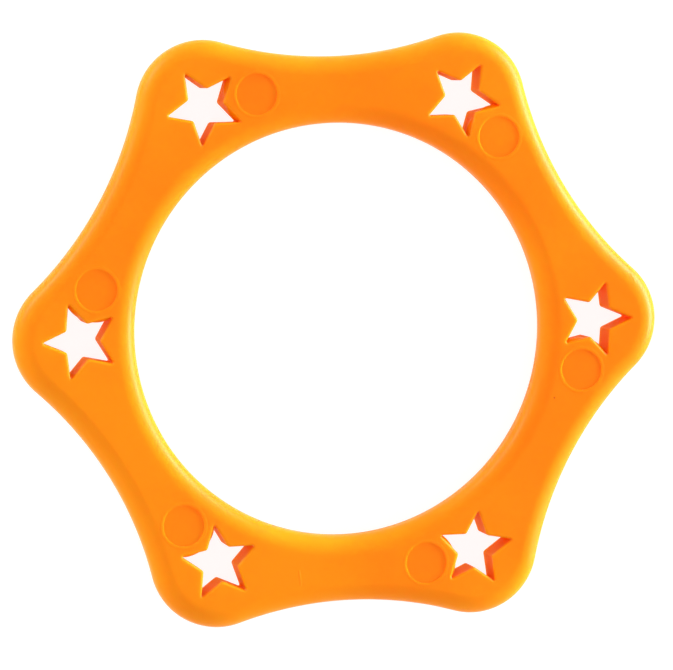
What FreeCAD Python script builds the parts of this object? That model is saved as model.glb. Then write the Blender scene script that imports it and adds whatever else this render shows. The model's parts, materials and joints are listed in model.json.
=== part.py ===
import FreeCAD
import Part

import math
import os

# Flying ring: one soft-plastic moulding, lying flat with its underside on z = 0.
# The origin is on the axis of the centre hole, and a lobe points along +X.
# All sizes are in millimetres.

# Section
thickness = 10.0
land_height = 1.6         # straight wall left between the rounded edges, at the parting plane

# Plan shape, from the centre hole outwards. A land is a strip of flat face, measured
# from where the rounding of the edge ends.
lobe_count = 6
hole_radius = 50.5        # centre hole, at its narrowest
side_land = 7.7           # right across the rim, in the middle of a hollow side
star_hole_land = 1.5      # between the hole and the star's two inner points
star_tip_land = 2.4       # between the star's outer point and the tip of the lobe
lobe_land = 2.7           # round the star, from its points out to the side of the lobe

# Star windows, one in each lobe, each with a point facing outwards
star_points = 5           # an odd number, so that the hole side has a notch between two points
star_reach = 9.5          # star centre to a point
star_notch_reach = 4.4    # star centre to a notch between two points
star_tip_round = 0.3
star_notch_round = 0.8
star_rim_round = 0.7      # rounding where the window meets each face

# Witness marks that the ejector pins leave in the upper face, one in line with a notch
# of each star, on its clockwise side
mark_radius = 5.0
mark_depth = 0.15
mark_gap = 3.5            # from the notch of the star to the mark
mark_notch = -3           # half points round from the outer point of the star

cut_margin = 1.0          # how far a cutter runs past the face that it opens
tolerance = 1e-6

edge_round = (thickness - land_height) / 2
pitch = 360.0 / lobe_count
half_point = 180.0 / star_points
star_centre = hole_radius + edge_round + star_hole_land + star_reach * math.cos(math.radians(half_point))
tip_reach = star_centre + star_reach + star_tip_land + edge_round
waist_reach = hole_radius + side_land + 2 * edge_round
lobe_radius = star_reach + lobe_land + edge_round
lobe_centre = tip_reach - lobe_radius
up = FreeCAD.Vector(0, 0, 1)


def polar(reach, degrees, z=0.0):
    """The point at this reach from the axis, this many degrees round from +X."""
    turn = math.radians(degrees)
    return FreeCAD.Vector(reach * math.cos(turn), reach * math.sin(turn), z)


def at_lobe(shape, k):
    """A copy, turned to lobe k, of a shape that is drawn at the lobe on +X."""
    turned = shape.copy()
    turned.rotate(FreeCAD.Vector(0, 0, 0), up, k * pitch)
    return turned


def side_radius():
    """Radius of a hollow side: it passes its middle point and is tangent to both lobes."""
    along = lobe_centre * math.cos(math.radians(pitch / 2))
    over = lobe_radius**2 - lobe_centre**2 - waist_reach**2 + 2 * along * waist_reach
    return over / (2 * (waist_reach - along - lobe_radius))


def outline():
    """Closed wire of lobes and hollow sides, every arc tangent to the next."""
    lobe = polar(lobe_centre, 0)
    next_lobe = polar(lobe_centre, pitch)
    side = polar(waist_reach + side_radius(), pitch / 2)
    leave = lobe + (side - lobe).normalize() * lobe_radius
    arrive = next_lobe + (side - next_lobe).normalize() * lobe_radius
    enter = FreeCAD.Vector(leave.x, -leave.y, 0)
    lobe_arc = Part.Arc(enter, polar(tip_reach, 0), leave).toShape()
    side_arc = Part.Arc(leave, polar(waist_reach, pitch / 2), arrive).toShape()
    edges = []
    for k in range(lobe_count):
        edges += [at_lobe(lobe_arc, k), at_lobe(side_arc, k)]
    return Part.Wire(edges)


def face_edges(shape):
    """Edges that lie in the plane of the underside or of the upper face."""
    edges = []
    for z in (0.0, thickness):
        for edge in shape.Edges:
            if abs(edge.BoundBox.ZMin - z) < tolerance and abs(edge.BoundBox.ZMax - z) < tolerance:
                edges.append(edge)
    return edges


def blank():
    """The ring before its windows are cut, with both faces rounded into the walls."""
    plate = Part.Face(outline()).extrude(up * thickness)
    ring = plate.cut(Part.makeCylinder(hole_radius, thickness))
    return ring.makeFillet(edge_round, face_edges(ring))


def corners_at(prism, reach):
    """Upright edges of a prism about the axis, at this reach from it."""
    upright = [edge for edge in prism.Edges if edge.BoundBox.ZLength > tolerance]
    return [edge for edge in upright if abs(edge.Vertexes[0].Point.x**2 + edge.Vertexes[0].Point.y**2
                                            - reach**2) < tolerance]


def star_cutter():
    """Prism of a star with rounded corners, at the lobe on +X."""
    corners = []
    for k in range(2 * star_points):
        reach = star_notch_reach if k % 2 else star_reach
        corners.append(polar(reach, k * half_point, -cut_margin))
    prism = Part.Face(Part.makePolygon(corners + corners[:1])).extrude(up * (thickness + 2 * cut_margin))
    prism = prism.makeFillet(star_tip_round, corners_at(prism, star_reach))
    prism = prism.makeFillet(star_notch_round, corners_at(prism, star_notch_reach))
    prism.translate(polar(star_centre, 0))
    return prism


def mark_cutter():
    """Short cylinder whose foot is the floor of an ejector-pin mark, at the lobe on +X."""
    from_star = polar(star_notch_reach + mark_gap + mark_radius, mark_notch * half_point)
    foot = polar(star_centre, 0, thickness - mark_depth) + from_star
    return Part.makeCylinder(mark_radius, mark_depth + cut_margin, foot)


def window_rims(shape):
    """Edges round the star windows, in both faces."""
    centres = [polar(star_centre, k * pitch) for k in range(lobe_count)]
    rims = []
    for edge in face_edges(shape):
        for centre in centres:
            spread = [math.hypot(v.X - centre.x, v.Y - centre.y) for v in edge.Vertexes]
            if max(spread) < star_reach + tolerance:
                rims.append(edge)
    return rims


def flying_ring():
    ring = blank()
    for k in range(lobe_count):
        ring = ring.cut(at_lobe(star_cutter(), k))
    ring = ring.makeFillet(star_rim_round, window_rims(ring))
    for k in range(lobe_count):
        ring = ring.cut(at_lobe(mark_cutter(), k))
    return ring


os.makedirs("parts", exist_ok=True)
ring_body = flying_ring()
for solid in ring_body.Solids:
    print("ring_body: valid %s, volume %.1f mm3" % (solid.isValid(), solid.Volume))
print("tip reach %.3f, hollow side radius %.2f, star centre %.3f" % (tip_reach, side_radius(), star_centre))
ring_body.Solids[0].exportStep("parts/ring_body.step")
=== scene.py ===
import json
import math

import bpy
from mathutils import Matrix, Vector


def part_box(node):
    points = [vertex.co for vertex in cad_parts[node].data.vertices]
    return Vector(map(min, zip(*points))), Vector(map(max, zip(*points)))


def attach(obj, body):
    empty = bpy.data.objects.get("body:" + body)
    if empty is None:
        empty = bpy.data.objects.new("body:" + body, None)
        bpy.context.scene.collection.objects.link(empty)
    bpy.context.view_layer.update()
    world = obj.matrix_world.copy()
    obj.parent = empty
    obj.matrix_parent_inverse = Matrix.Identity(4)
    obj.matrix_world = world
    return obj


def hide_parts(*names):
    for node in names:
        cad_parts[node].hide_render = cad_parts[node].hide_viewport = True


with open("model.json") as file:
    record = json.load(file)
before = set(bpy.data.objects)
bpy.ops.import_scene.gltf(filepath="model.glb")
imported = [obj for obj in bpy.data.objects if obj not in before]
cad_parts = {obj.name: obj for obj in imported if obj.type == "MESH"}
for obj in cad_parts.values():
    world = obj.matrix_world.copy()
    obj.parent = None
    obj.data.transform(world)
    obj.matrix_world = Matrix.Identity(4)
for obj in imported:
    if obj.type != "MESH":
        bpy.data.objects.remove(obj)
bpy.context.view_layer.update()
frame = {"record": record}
mm = 0.001
ringLow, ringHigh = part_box("ring_body")
ringMiddle = (ringLow + ringHigh) / 2
holeMount = next(m for m in frame["record"]["mounts"] if m["name"] == "centre_hole")


viewpoint = {
    "distance": 1.0,
    "leanToward": 162.5,       # degrees round the picture, the side that the camera leans to
    "lean": 12.2,              # degrees off the ring's own axis
    "roll": 2.11,              # degrees that the ring is turned in the picture
    "aside": 0.38 * mm,
    "above": 1.42 * mm,
    "lens": 218.7,
}


def placeCamera(v):
    turn = Matrix.Rotation(math.radians(v["leanToward"]), 3, "Z")
    lean = Matrix.Rotation(math.radians(v["lean"]), 3, "Y")
    roll = Matrix.Rotation(math.radians(-v["roll"]), 3, "Z")
    facing = roll @ turn @ lean @ turn.inverted()
    place = ringMiddle + facing @ Vector((-v["aside"], -v["above"], v["distance"]))
    camera = bpy.data.objects.new("camera", bpy.data.cameras.new("camera"))
    camera.data.lens = v["lens"]
    camera.data.clip_start = 0.01
    camera.matrix_world = Matrix.Translation(place) @ facing.to_4x4()
    bpy.context.scene.collection.objects.link(camera)
    bpy.context.scene.camera = camera


placeCamera(viewpoint)
print("camera placed")


def startEdit():
    bpy.ops.object.mode_set(mode="EDIT")
    bpy.ops.mesh.select_mode(type="VERT")


def endEdit():
    bpy.ops.object.mode_set(mode="OBJECT")


def bareObject(name):
    piece = bpy.context.object
    piece.name = name
    piece.data.name = name
    bpy.ops.object.transform_apply(location=True, rotation=True, scale=True)
    return piece


def selectOnly(piece):
    bpy.ops.object.select_all(action="DESELECT")
    piece.select_set(True)
    bpy.context.view_layer.objects.active = piece


def pickVerts(test):
    # Selects the vertices whose place passes the test. Called in edit mode.
    bpy.ops.mesh.select_mode(type="VERT")
    bpy.ops.mesh.select_all(action="DESELECT")
    endEdit()
    mesh = bpy.context.object.data
    for v in mesh.vertices:
        v.select = test(v.co)
    bpy.ops.object.mode_set(mode="EDIT")


def pickFaces(test):
    # Selects the faces that pass the test. Called in edit mode.
    bpy.ops.mesh.select_mode(type="FACE")
    bpy.ops.mesh.select_all(action="DESELECT")
    endEdit()
    mesh = bpy.context.object.data
    for f in mesh.polygons:
        f.select = test(f)
    bpy.ops.object.mode_set(mode="EDIT")


def cutWith(piece, tool, operation):
    selectOnly(piece)
    boolean = piece.modifiers.new(tool.name, "BOOLEAN")
    boolean.operation = operation
    boolean.solver = "EXACT"
    boolean.object = tool
    bpy.ops.object.modifier_apply(modifier=boolean.name)
    bpy.data.objects.remove(tool)


ring = {
    "lobes": 6,
    "holeRadius": holeMount["dims"]["r_mm"] * mm,
    "sideLand": 7.7 * mm,       # flat face across the rim, in the middle of a hollow side
    "wallHeight": holeMount["dims"]["length_mm"] * mm,
    "lobeLand": 2.7 * mm,       # flat face between a star's reach and the rounding
    "lobeSteps": 22,            # per half lobe
    "sideSteps": 20,            # per half side
    "shoulder": 4.8 * mm,       # how far in the rounding of an edge runs onto the flat face
    "roundSteps": 12,
    "flatEdge": 0.1 * mm,       # narrow strip that keeps the shading of the flats even
    "seamWidth": 0.5 * mm,      # moulding seam, half way up both walls
    "seamProud": 0.07 * mm,
}
star = {
    "points": 5,
    "reach": 9.5 * mm,
    "notchReach": 4.4 * mm,
    "holeLand": 1.5 * mm,       # flat face between the hole's rounding and the inner points
    "tipLand": 2.4 * mm,        # flat face between the outer point and the tip of the lobe
    "tipRound": 0.3 * mm,
    "notchRound": 0.8 * mm,
    "rimRound": 0.7 * mm,
    "tipSteps": 8,
    "notchSteps": 6,
    "rimSteps": 5,
}
cutMargin = 1.0 * mm
snap = 0.01 * mm
level = 0.9                     # a face is level where its normal rises more than this
upright = 0.1                   # and a wall where its normal rises less than this
smoothAngle = math.radians(38)

ringHeight = ringHigh.z - ringLow.z
edgeRound = (ringHeight - ring["wallHeight"]) / 2
waistReach = ring["holeRadius"] + ring["sideLand"] + 2 * edgeRound
lobeRadius = star["reach"] + ring["lobeLand"] + edgeRound
starCentre = ring["holeRadius"] + edgeRound + star["holeLand"] \
    + star["reach"] * math.cos(math.pi / star["points"])
tipReach = starCentre + star["reach"] + star["tipLand"] + edgeRound
lobeCentre = tipReach - lobeRadius


def sideRadius():
    along = lobeCentre * math.cos(math.pi / ring["lobes"])
    over = lobeRadius**2 - lobeCentre**2 - waistReach**2 + 2 * along * waistReach
    return over / (2 * (waistReach - along - lobeRadius))


def spinOn(steps, turn, centre, copies=False):
    # Positive turns go anticlockwise, seen from above.
    bpy.ops.mesh.spin(steps=steps, angle=-turn, dupli=copies, center=centre, axis=(0, 0, 1))


def aroundLobes():
    # Copies all that is in the mesh round the ring's axis, once for each lobe.
    bpy.ops.mesh.select_all(action="SELECT")
    spinOn(ring["lobes"], 2 * math.pi, (0, 0, 0), copies=True)
    bpy.ops.mesh.select_all(action="SELECT")
    bpy.ops.mesh.remove_doubles(threshold=snap)


def drawVertex(name, place):
    # One vertex, to be spun into an arc.
    bpy.ops.mesh.primitive_plane_add(size=mm, location=place)
    piece = bareObject(name)
    startEdit()
    bpy.ops.mesh.select_all(action="SELECT")
    bpy.ops.mesh.merge(type="CENTER")
    return piece


def mirrored(piece):
    endEdit()
    mirror = piece.modifiers.new("mirror", "MIRROR")
    mirror.use_axis = (False, True, False)
    mirror.merge_threshold = snap
    bpy.ops.object.modifier_apply(modifier=mirror.name)
    startEdit()


def drawOutline(z):
    # Half a lobe and half a hollow side, spun from one vertex, then mirrored and copied round.
    half = math.pi / ring["lobes"]
    sideReach = waistReach + sideRadius()
    side = (sideReach * math.cos(half), sideReach * math.sin(half), z)
    lobeTurn = math.atan2(side[1], side[0] - lobeCentre)
    outline = drawVertex("ring_moulding", (tipReach, 0, z))
    spinOn(ring["lobeSteps"], lobeTurn, (lobeCentre, 0, z))
    spinOn(ring["sideSteps"], half - lobeTurn, side)
    mirrored(outline)
    aroundLobes()
    endEdit()
    return outline


def drawHole(z):
    steps = 2 * ring["lobes"] * (ring["lobeSteps"] + ring["sideSteps"])
    bpy.ops.mesh.primitive_circle_add(vertices=steps, radius=ring["holeRadius"], location=(0, 0, z))
    return bareObject("hole")


def roundOver(up):
    # Insets one face of the plate step by step along a quarter ellipse.
    wallEnd = ring["wallHeight"] / 2
    pickFaces(lambda f: f.normal.z * up > level and abs(f.center.z - ringMiddle.z) > wallEnd - snap)
    for k in range(ring["roundSteps"]):
        a, b = (q * math.pi / 2 / ring["roundSteps"] for q in (k, k + 1))
        inward = ring["shoulder"] * (math.cos(a) - math.cos(b))
        along = edgeRound * (math.sin(b) - math.sin(a))
        bpy.ops.mesh.inset(thickness=inward, depth=along, use_boundary=True, use_even_offset=True)
    bpy.ops.mesh.inset(thickness=ring["flatEdge"], depth=0)


def raiseSeam():
    # A fine bead half way up the two walls, where the mould halves met.
    bpy.ops.mesh.select_all(action="SELECT")
    bpy.ops.mesh.bisect(plane_co=ringMiddle, plane_no=(0, 0, 1))
    bpy.ops.mesh.bevel(offset=ring["seamWidth"] / 2, segments=2, affect="EDGES")
    pickVerts(lambda v: abs(v.z - ringMiddle.z) < snap)
    bpy.ops.transform.shrink_fatten(value=ring["seamProud"])


def joinFlats():
    # Each flat becomes one large face per lobe, with a seam across the rim in each hollow side.
    half = math.pi / ring["lobes"]
    for k in range(ring["lobes"]):
        for z in (ringLow.z, ringHigh.z):
            def wideFlat(face):
                lobeTurn = math.atan2(face.center.y, face.center.x) - 2 * k * half
                nearLobe = abs((lobeTurn + math.pi) % (2 * math.pi) - math.pi) < half
                return nearLobe and abs(face.center.z - z) < snap and face.area > ring["flatEdge"] * mm
            pickFaces(wideFlat)
            bpy.ops.mesh.dissolve_faces()


def ringBlank():
    z = ringMiddle.z - ring["wallHeight"] / 2
    hole = drawHole(z)
    plate = drawOutline(z)
    selectOnly(plate)
    hole.select_set(True)
    bpy.ops.object.join()
    startEdit()
    bpy.ops.mesh.select_all(action="SELECT")
    bpy.ops.mesh.bridge_edge_loops()
    bpy.ops.mesh.select_all(action="SELECT")
    bpy.ops.mesh.extrude_region_move(TRANSFORM_OT_translate={"value": (0, 0, ring["wallHeight"])})
    bpy.ops.mesh.select_all(action="SELECT")
    bpy.ops.mesh.normals_make_consistent(inside=False)
    roundOver(1)
    roundOver(-1)
    raiseSeam()
    joinFlats()
    endEdit()
    return plate


def starTool():
    # A star with rounded corners, drawn flat above the ring and carried down through it.
    s = star
    halfTurn = math.pi / s["points"]
    centre = Vector((starCentre, 0, ringHigh.z + cutMargin))
    bpy.ops.mesh.primitive_circle_add(vertices=2 * s["points"], radius=s["reach"], fill_type="NGON",
                                      location=centre, rotation=(0, 0, -math.pi / 2))
    tool = bareObject("star_tool")
    startEdit()
    pickVerts(lambda v: round(math.atan2(v.y, v.x - starCentre) / halfTurn) % 2 == 1)
    pull = s["notchReach"] / s["reach"]
    bpy.ops.transform.resize(value=(pull, pull, 1), center_override=centre)
    notchSide = s["notchReach"] * math.sin(halfTurn)
    tipHalf = math.atan2(notchSide, s["reach"] - s["notchReach"] * math.cos(halfTurn))
    pickVerts(lambda v: (v - centre).length > s["reach"] - snap)
    bpy.ops.mesh.bevel(offset=s["tipRound"] / math.tan(tipHalf), segments=s["tipSteps"],
                       affect="VERTICES")
    pickVerts(lambda v: (v - centre).length < s["notchReach"] + snap)
    bpy.ops.mesh.bevel(offset=s["notchRound"] / math.tan(tipHalf + halfTurn), segments=s["notchSteps"],
                       affect="VERTICES")
    bpy.ops.mesh.select_all(action="SELECT")
    depth = ringHeight + 2 * cutMargin
    bpy.ops.mesh.extrude_region_move(TRANSFORM_OT_translate={"value": (0, 0, -depth)})
    bpy.ops.mesh.select_all(action="SELECT")
    bpy.ops.mesh.normals_make_consistent(inside=False)
    aroundLobes()
    endEdit()
    return tool


def nearStar(place, reach):
    for k in range(ring["lobes"]):
        turn = k * 2 * math.pi / ring["lobes"]
        if math.hypot(place.x - starCentre * math.cos(turn), place.y - starCentre * math.sin(turn)) < reach:
            return True
    return False


def starWall(face):
    return abs(face.normal.z) < upright and nearStar(face.center, star["reach"])


def cutStars(moulding):
    cutWith(moulding, starTool(), "DIFFERENCE")
    startEdit()
    pickFaces(starWall)
    bpy.ops.mesh.region_to_loop()
    bpy.ops.mesh.bevel(offset=star["rimRound"], segments=star["rimSteps"], affect="EDGES",
                       clamp_overlap=False)
    endEdit()


pinMark = {
    "radius": 5.0 * mm,
    "depth": 0.15 * mm,
    "gap": 3.5 * mm,            # from the star's notch
    "notch": -3,                # half points round from the star's outer point
    "steps": 96,
    "beadSteps": 72,
    "lipWidth": 1.0 * mm,
    "lipProud": 0.05 * mm,
    "lipPlace": 0.8,            # where the lip's crest stands, in half widths out from the mark
}
pinDistance = star["notchReach"] + pinMark["gap"] + pinMark["radius"]
pinTurn = pinMark["notch"] * math.pi / star["points"]
pinCentre = Vector((starCentre + pinDistance * math.cos(pinTurn), pinDistance * math.sin(pinTurn), 0))


def pinLipTool():
    # The thin raised lip that plastic creeping round a pin leaves at the edge of its mark.
    half = pinMark["lipWidth"] / 2
    proud = pinMark["lipProud"]
    bead = (half**2 + proud**2) / (2 * proud)
    place = pinCentre + Vector((0, 0, ringHigh.z + proud - bead))
    reach = pinMark["radius"] + pinMark["lipPlace"] * half
    bpy.ops.mesh.primitive_torus_add(major_radius=reach, minor_radius=bead, location=place,
                                     major_segments=pinMark["steps"], minor_segments=pinMark["beadSteps"])
    tool = bareObject("pin_lips")
    startEdit()
    aroundLobes()
    endEdit()
    return tool


def pinTool():
    height = pinMark["depth"] + cutMargin
    place = pinCentre + Vector((0, 0, ringHigh.z - pinMark["depth"] + height / 2))
    halfStep = math.pi / pinMark["steps"]   # keeps its corners off those of the lips
    bpy.ops.mesh.primitive_cylinder_add(vertices=pinMark["steps"], radius=pinMark["radius"],
                                        depth=height, location=place, rotation=(0, 0, halfStep))
    tool = bareObject("pins")
    startEdit()
    aroundLobes()
    endEdit()
    return tool


def pinFloor(face):
    return face.normal.z > level and abs(face.center.z - ringHigh.z + pinMark["depth"]) < snap


def socketGroup(name, inputs, outputs):
    # An empty node group with named sockets. Inputs are (name, kind, default).
    group = bpy.data.node_groups.new(name, "ShaderNodeTree")
    for label, kind, default in inputs:
        group.interface.new_socket(label, in_out="INPUT", socket_type=kind).default_value = default
    for label, kind in outputs:
        group.interface.new_socket(label, in_out="OUTPUT", socket_type=kind)
    return group, group.nodes.new("NodeGroupInput"), group.nodes.new("NodeGroupOutput")


def addNode(tree, kind, settings=None, **links):
    # Adds a node, sets its properties and links or sets its inputs by name.
    node = tree.nodes.new(kind)
    for key, value in (settings or {}).items():
        setattr(node, key, value)
    for key, value in links.items():
        socket = node.inputs[int(key[2:])] if key.startswith("in") else node.inputs[key.replace("_", " ")]
        if isinstance(value, bpy.types.NodeSocket):
            tree.links.new(value, socket)
        else:
            socket.default_value = value
    return node


number, colour, vector = "NodeSocketFloat", "NodeSocketColor", "NodeSocketVector"


def pigmentDriftGroup():
    # Slow change of colour over the moulding, as pigment streams out from the gate.
    group, given, out = socketGroup("pigmentDrift", [
        ("Vector", vector, (0, 0, 0)), ("Light", colour, (1, 1, 1, 1)), ("Deep", colour, (1, 1, 1, 1)),
        ("Scale", number, 20.0), ("Streak", number, 0.3)], [("Color", colour)])
    broad = addNode(group, "ShaderNodeTexNoise", Vector=given.outputs["Vector"],
                    Scale=given.outputs["Scale"], Detail=2.0, Roughness=0.45)
    fine = addNode(group, "ShaderNodeTexNoise", Vector=given.outputs["Vector"], Scale=420.0,
                   Detail=3.0, Roughness=0.6, Distortion=0.6)
    blend = addNode(group, "ShaderNodeMix", in0=given.outputs["Streak"], in2=broad.outputs["Fac"],
                    in3=fine.outputs["Fac"])
    spread = addNode(group, "ShaderNodeMapRange", {"interpolation_type": "SMOOTHSTEP"},
                     Value=blend.outputs[0], From_Min=0.36, From_Max=0.64)
    tint = addNode(group, "ShaderNodeMix", {"data_type": "RGBA"}, in0=spread.outputs["Result"],
                   in6=given.outputs["Light"], in7=given.outputs["Deep"])
    group.links.new(tint.outputs[2], out.inputs["Color"])
    return group


def mouldedSkinGroup():
    # The fine pebble that a lightly blasted mould prints on plastic, and how it scatters light.
    group, given, out = socketGroup("mouldedSkin", [
        ("Vector", vector, (0, 0, 0)), ("Grain", number, 2400.0), ("Ripple", number, 90.0),
        ("Smooth", number, 0.3), ("Dull", number, 0.4)], [("Height", number), ("Roughness", number)])
    pebble = addNode(group, "ShaderNodeTexNoise", Vector=given.outputs["Vector"],
                     Scale=given.outputs["Grain"], Detail=3.0, Roughness=0.55)
    ripple = addNode(group, "ShaderNodeTexNoise", Vector=given.outputs["Vector"],
                     Scale=given.outputs["Ripple"], Detail=2.0, Roughness=0.5)
    height = addNode(group, "ShaderNodeMix", in0=0.65, in2=pebble.outputs["Fac"], in3=ripple.outputs["Fac"])
    rough = addNode(group, "ShaderNodeMapRange", Value=ripple.outputs["Fac"], From_Min=0.35, From_Max=0.65,
                    To_Min=given.outputs["Smooth"], To_Max=given.outputs["Dull"])
    group.links.new(height.outputs[0], out.inputs["Height"])
    group.links.new(rough.outputs["Result"], out.inputs["Roughness"])
    return group


def speckGroup():
    # Sparse dark specks of dust and burnt resin caught in the plastic.
    group, given, out = socketGroup("darkSpecks", [
        ("Vector", vector, (0, 0, 0)), ("Scale", number, 160.0), ("Size", number, 0.05),
        ("Share", number, 0.1)], [("Mask", number)])
    cells = addNode(group, "ShaderNodeTexVoronoi", Vector=given.outputs["Vector"],
                    Scale=given.outputs["Scale"], Randomness=1.0)
    dot = addNode(group, "ShaderNodeMath", {"operation": "LESS_THAN"}, in0=cells.outputs["Distance"],
                  in1=given.outputs["Size"])
    pick = addNode(group, "ShaderNodeSeparateColor", Color=cells.outputs["Color"])
    chosen = addNode(group, "ShaderNodeMath", {"operation": "LESS_THAN"}, in0=pick.outputs["Red"],
                     in1=given.outputs["Share"])
    mask = addNode(group, "ShaderNodeMath", {"operation": "MULTIPLY"}, in0=dot.outputs[0],
                   in1=chosen.outputs[0])
    group.links.new(mask.outputs[0], out.inputs["Mask"])
    return group


def flowLineGroup():
    # A hair-fine raised line between two points, where two streams of plastic met in the mould.
    group, given, out = socketGroup("flowLine", [
        ("Vector", vector, (0, 0, 0)), ("From", vector, (0, 0, 0)), ("To", vector, (0, 0, 0)),
        ("Width", number, 0.3 * mm)], [("Height", number)])
    along = addNode(group, "ShaderNodeVectorMath", {"operation": "SUBTRACT"}, in0=given.outputs["To"],
                    in1=given.outputs["From"]).outputs["Vector"]
    away = addNode(group, "ShaderNodeVectorMath", {"operation": "SUBTRACT"}, in0=given.outputs["Vector"],
                   in1=given.outputs["From"]).outputs["Vector"]
    reach = addNode(group, "ShaderNodeVectorMath", {"operation": "DOT_PRODUCT"}, in0=away, in1=along)
    whole = addNode(group, "ShaderNodeVectorMath", {"operation": "DOT_PRODUCT"}, in0=along, in1=along)
    share = addNode(group, "ShaderNodeMath", {"operation": "DIVIDE", "use_clamp": True},
                    in0=reach.outputs["Value"], in1=whole.outputs["Value"])
    foot = addNode(group, "ShaderNodeVectorMath", {"operation": "SCALE"}, in0=along, Scale=share.outputs[0])
    gap = addNode(group, "ShaderNodeVectorMath", {"operation": "DISTANCE"}, in0=away,
                  in1=foot.outputs["Vector"])
    bead = addNode(group, "ShaderNodeMapRange", {"interpolation_type": "SMOOTHSTEP"},
                   Value=gap.outputs["Value"], From_Min=0.0, From_Max=given.outputs["Width"],
                   To_Min=1.0, To_Max=0.0)
    group.links.new(bead.outputs["Result"], out.inputs["Height"])
    return group


groups = {"pigment": pigmentDriftGroup(), "skin": mouldedSkinGroup(), "specks": speckGroup(),
          "flow": flowLineGroup()}

flowLines = [                  # both ends of each, on the marked face
    {"from": (73.2 * mm, 11.5 * mm), "to": (76.2 * mm, 3.8 * mm), "drop": 0.7 * mm},
    {"from": (-12.4 * mm, -58.3 * mm), "to": (-12.2 * mm, -61.9 * mm), "drop": 0.0},
]
flowLineWidth = 0.35 * mm
flowLineProud = 0.08 * mm

plastic = {
    "glow": 0.65,                          # share of light that scatters inside the plastic
    "glowRadius": (8.0 * mm, 5.0 * mm, 0.6 * mm),
    "speck": (0.72, 0.12, 0.002, 1),
    "ior": 1.46,
    "drift": 22.0,                         # patches of pigment, per metre
    "streak": 0.12,                        # share of the colour change that is fine
    "ripple": 95.0,
    "speckSpread": 190.0,
    "speckSize": 0.05,                     # in the width of one speck's cell
    "bumpStrength": 0.6,
}
satinFace = {"light": (1.0, 0.295, 0.002, 1), "deep": (1.0, 0.24, 0.001, 1), "smooth": 0.34,
             "dull": 0.42, "specular": 0.14, "grain": 2400.0, "bump": 0.05 * mm, "specks": 0.04}
# Star window walls: a darker, redder base colour than the face, painted shade inside the windows.
windowWallPaintedShade = {"light": (1.0, 0.26, 0.010, 1), "deep": (1.0, 0.20, 0.006, 1), "smooth": 0.55,
              "dull": 0.65, "specular": 0.04, "grain": 3200.0, "bump": 0.03 * mm, "specks": 0.0}
# Pin mark floors: a slightly darker base colour than the face, painted shade in the shallow recesses.
pinPadPaintedShade = {"light": (1.0, 0.275, 0.001, 1), "deep": (1.0, 0.225, 0.001, 1), "smooth": 0.36,
          "dull": 0.46, "specular": 0.14, "grain": 1600.0, "bump": 0.04 * mm, "specks": 0.04}


def orangePlastic(name, finish):
    material = bpy.data.materials.new(name)
    material.use_nodes = True
    tree = material.node_tree
    tree.nodes.clear()
    out = tree.nodes.new("ShaderNodeOutputMaterial")
    place = addNode(tree, "ShaderNodeTexCoord").outputs["Object"]
    pigment = addNode(tree, "ShaderNodeGroup", {"node_tree": groups["pigment"]}, Vector=place,
                      Light=finish["light"], Deep=finish["deep"], Scale=plastic["drift"],
                      Streak=plastic["streak"])
    specks = addNode(tree, "ShaderNodeGroup", {"node_tree": groups["specks"]}, Vector=place,
                     Scale=plastic["speckSpread"], Size=plastic["speckSize"], Share=finish["specks"])
    skin = addNode(tree, "ShaderNodeGroup", {"node_tree": groups["skin"]}, Vector=place,
                   Grain=finish["grain"], Ripple=plastic["ripple"], Smooth=finish["smooth"],
                   Dull=finish["dull"])
    tint = addNode(tree, "ShaderNodeMix", {"data_type": "RGBA"}, in0=specks.outputs["Mask"],
                   in6=pigment.outputs["Color"], in7=plastic["speck"])
    bump = addNode(tree, "ShaderNodeBump", Height=skin.outputs["Height"], Strength=plastic["bumpStrength"],
                   Distance=finish["bump"])
    for line in flowLines:
        z = ringHigh.z - line["drop"]
        raised = addNode(tree, "ShaderNodeGroup", {"node_tree": groups["flow"]}, Vector=place,
                         From=(*line["from"], z), To=(*line["to"], z), Width=flowLineWidth)
        bump = addNode(tree, "ShaderNodeBump", Height=raised.outputs["Height"], Strength=1.0,
                       Distance=flowLineProud, Normal=bump.outputs["Normal"])
    shader = addNode(tree, "ShaderNodeBsdfPrincipled", Base_Color=tint.outputs[2],
                     Roughness=skin.outputs["Roughness"], Normal=bump.outputs["Normal"],
                     IOR=plastic["ior"], Specular_IOR_Level=finish["specular"],
                     Subsurface_Weight=plastic["glow"],
                     Subsurface_Radius=plastic["glowRadius"], Subsurface_Scale=1.0)
    tree.links.new(shader.outputs["BSDF"], out.inputs["Surface"])
    return material


def dressRing(moulding):
    # The window wall finish paints shade into the walls of the star windows.
    finishes = [("satin_face", satinFace, None), ("window_wall_painted_shade", windowWallPaintedShade, starWall),
                # The pin pad finish paints shade onto the recessed mark floors.
                ("pin_pad_painted_shade", pinPadPaintedShade, pinFloor)]
    for k, (name, finish, where) in enumerate(finishes):
        moulding.data.materials.append(orangePlastic(name, finish))
        if where:
            startEdit()
            pickFaces(where)
            moulding.active_material_index = k
            bpy.ops.object.material_slot_assign()
            endEdit()


def smoothRing(moulding):
    selectOnly(moulding)
    bpy.ops.object.shade_smooth_by_angle(angle=smoothAngle)
    flats = moulding.modifiers.new("flats", "WEIGHTED_NORMAL")
    flats.keep_sharp = True
    flats.weight = 100
    bpy.ops.object.modifier_apply(modifier=flats.name)


moulding = ringBlank()
print("blank shaped")
cutStars(moulding)
print("star windows cut")
cutWith(moulding, pinLipTool(), "UNION")
cutWith(moulding, pinTool(), "DIFFERENCE")
print("pin marks pressed in")
selectOnly(moulding)
dressRing(moulding)
smoothRing(moulding)
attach(moulding, "root")
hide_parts("ring_body")
print("ring dressed in orange plastic")


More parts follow.
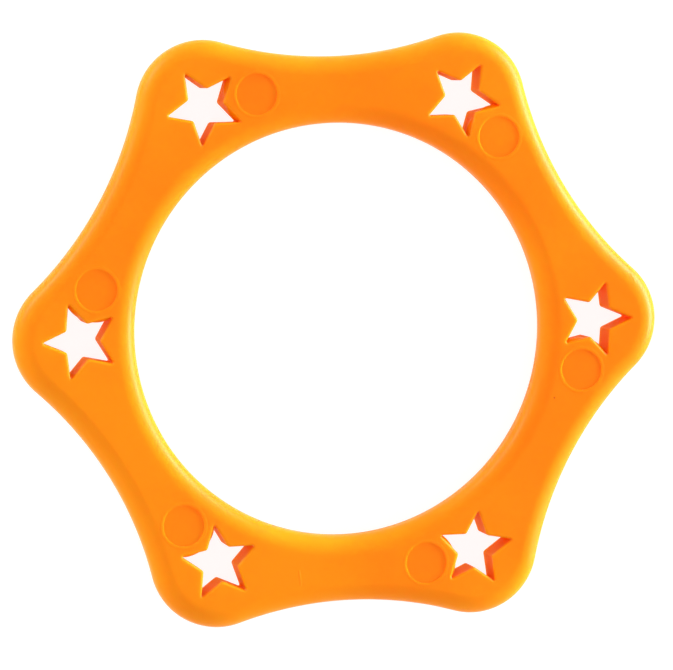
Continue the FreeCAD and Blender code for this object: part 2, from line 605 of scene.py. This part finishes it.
studio = {
    "floorReach": 6.0,
    "floorGap": 0.02 * mm,     # keeps the paper from fighting with the underside that rests on it
    "floor": (0.25, 0.25, 0.25, 1),
    "floorSteps": 128,
    "floorDull": 0.9,
    "floorGlow": 0.88,         # the floor is a light table, so the ring throws hardly any shadow
    "horizon": 1.0,
    "zenith": 0.75,
    "low": 0.1,                # heights of the direction, as sines, where the bright band
    "clear": 0.8,              # starts to fade and where it ends
}
softboxes = {                  # around and above are degrees, from +X and from the floor
    "key": {"around": 12, "above": 6.5, "distance": 0.9, "width": 0.9, "height": 0.2, "watts": 22.0},
    "fill": {"around": 140, "above": 3, "distance": 0.9, "width": 0.5, "height": 0.06, "watts": 4.5},
}


def layFloor():
    bpy.ops.mesh.primitive_circle_add(vertices=studio["floorSteps"], radius=studio["floorReach"],
                                      fill_type="NGON", location=(0, 0, ringLow.z - studio["floorGap"]))
    floor = bareObject("floor")
    paper = bpy.data.materials.new("pale_paper")
    paper.use_nodes = True
    shader = paper.node_tree.nodes["Principled BSDF"]
    shader.inputs["Base Color"].default_value = studio["floor"]
    shader.inputs["Roughness"].default_value = studio["floorDull"]
    shader.inputs["Specular IOR Level"].default_value = 0.0
    shader.inputs["Emission Color"].default_value = (1, 1, 1, 1)
    shader.inputs["Emission Strength"].default_value = studio["floorGlow"]
    floor.data.materials.append(paper)


def lightSky():
    world = bpy.data.worlds.new("studio")
    bpy.context.scene.world = world
    world.use_nodes = True
    tree = world.node_tree
    tree.nodes.clear()
    out = tree.nodes.new("ShaderNodeOutputWorld")
    direction = addNode(tree, "ShaderNodeTexCoord").outputs["Generated"]
    way = addNode(tree, "ShaderNodeSeparateXYZ", Vector=direction)
    band = addNode(tree, "ShaderNodeMapRange", {"interpolation_type": "SMOOTHSTEP"},
                   Value=way.outputs["Z"], From_Min=studio["low"], From_Max=studio["clear"],
                   To_Min=studio["horizon"], To_Max=studio["zenith"])
    glow = addNode(tree, "ShaderNodeBackground", Strength=band.outputs["Result"])
    glow.inputs["Color"].default_value = (1, 1, 1, 1)
    tree.links.new(glow.outputs["Background"], out.inputs["Surface"])


def hangSoftbox(name, box):
    turn, rise = math.radians(box["around"]), math.radians(box["above"])
    way = Vector((math.cos(turn) * math.cos(rise), math.sin(turn) * math.cos(rise), math.sin(rise)))
    light = bpy.data.objects.new(name, bpy.data.lights.new(name, "AREA"))
    light.data.shape = "RECTANGLE"
    light.data.size = box["width"]
    light.data.size_y = box["height"]
    light.data.energy = box["watts"]
    light.location = ringMiddle + way * box["distance"]
    light.rotation_euler = way.to_track_quat("Z", "Y").to_euler()
    bpy.context.scene.collection.objects.link(light)


layFloor()
lightSky()
for name, box in softboxes.items():
    hangSoftbox(name, box)
bpy.context.scene.view_settings.view_transform = "Standard"
print("floor laid and lights hung")
